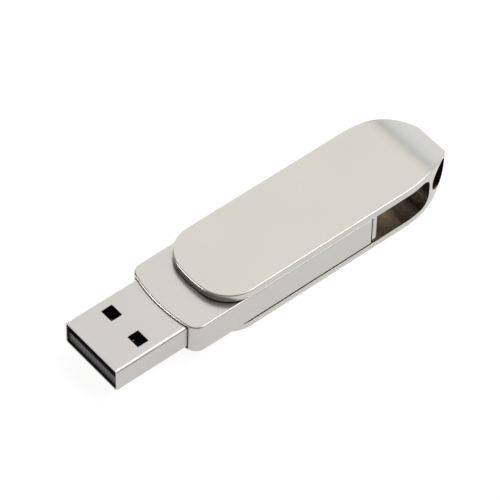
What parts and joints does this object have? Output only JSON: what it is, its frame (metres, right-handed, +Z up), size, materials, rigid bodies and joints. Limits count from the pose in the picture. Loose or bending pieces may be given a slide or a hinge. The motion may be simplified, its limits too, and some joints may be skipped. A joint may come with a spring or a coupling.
{
  "type": "usb flash drive",
  "caption": "Slim metal USB flash drive with a standard plug and a U-shaped metal cover that turns all the way round it and has a keyring hole in its nose.",
  "frame": {"origin": "centre of the footprint, on the surface that the cover's lower plate lies on", "axes": "+X from the plug's tip to the nose of the cover, +Y across the drive, +Z up through both plates"},
  "size_m": [0.0656, 0.0152, 0.0084],
  "materials": {
    "satin_nickel_cover": "satin nickel over metal, finely bead-blasted",
    "satin_nickel_casing": "satin nickel over metal, finely bead-blasted",
    "plug_steel": "nickel-plated steel sheet, satin",
    "gold_contact": "gold flash over brass, bright",
    "black_plastic": "moulded black plastic, matt",
    "grey_plastic": "moulded dark grey plastic, matt",
    "white_nylon": "white nylon, smooth",
    "board_green": "glass-epoxy board with green solder mask",
    "chip_black": "black moulded package, matt",
    "tinned": "bright tin",
    "crystal_can": "drawn metal can, satin",
    "ceramic_tan": "fired ceramic, matt",
    "resistor_black": "glazed film on ceramic, semi-gloss",
    "stud_steel": "turned steel, satin"
  },
  "bodies": {
    "drive": {"casing": "satin_nickel_casing", "end_cap": "satin_nickel_casing", "plug_shell": "plug_steel", "contact_block": "black_plastic", "contact_power": "gold_contact", "contact_data_minus": "gold_contact", "contact_data_plus": "gold_contact", "contact_ground": "gold_contact", "circuit_board": "board_green", "contact_solder": "tinned", "shell_solder": "tinned", "memory_chip": "chip_black", "memory_leads": "tinned", "controller_chip": "chip_black", "controller_pads": "tinned", "crystal": "crystal_can", "capacitors": "ceramic_tan", "capacitor_ends": "tinned", "resistors": "resistor_black", "resistor_ends": "tinned", "core_upper": "grey_plastic", "core_lower": "grey_plastic", "upper_washer": "white_nylon", "lower_washer": "white_nylon"},
    "cover": {"swivel_cover": "satin_nickel_cover", "upper_pivot_stud": "stud_steel", "lower_pivot_stud": "stud_steel"}
  },
  "joints": [
    {"name": "cover_swivel", "type": "hinge", "parent": "drive", "child": "cover", "pos_m": [-0.00709, 0, 0.00418], "axis": [0, 0, 1], "continuous": true}
  ]
}
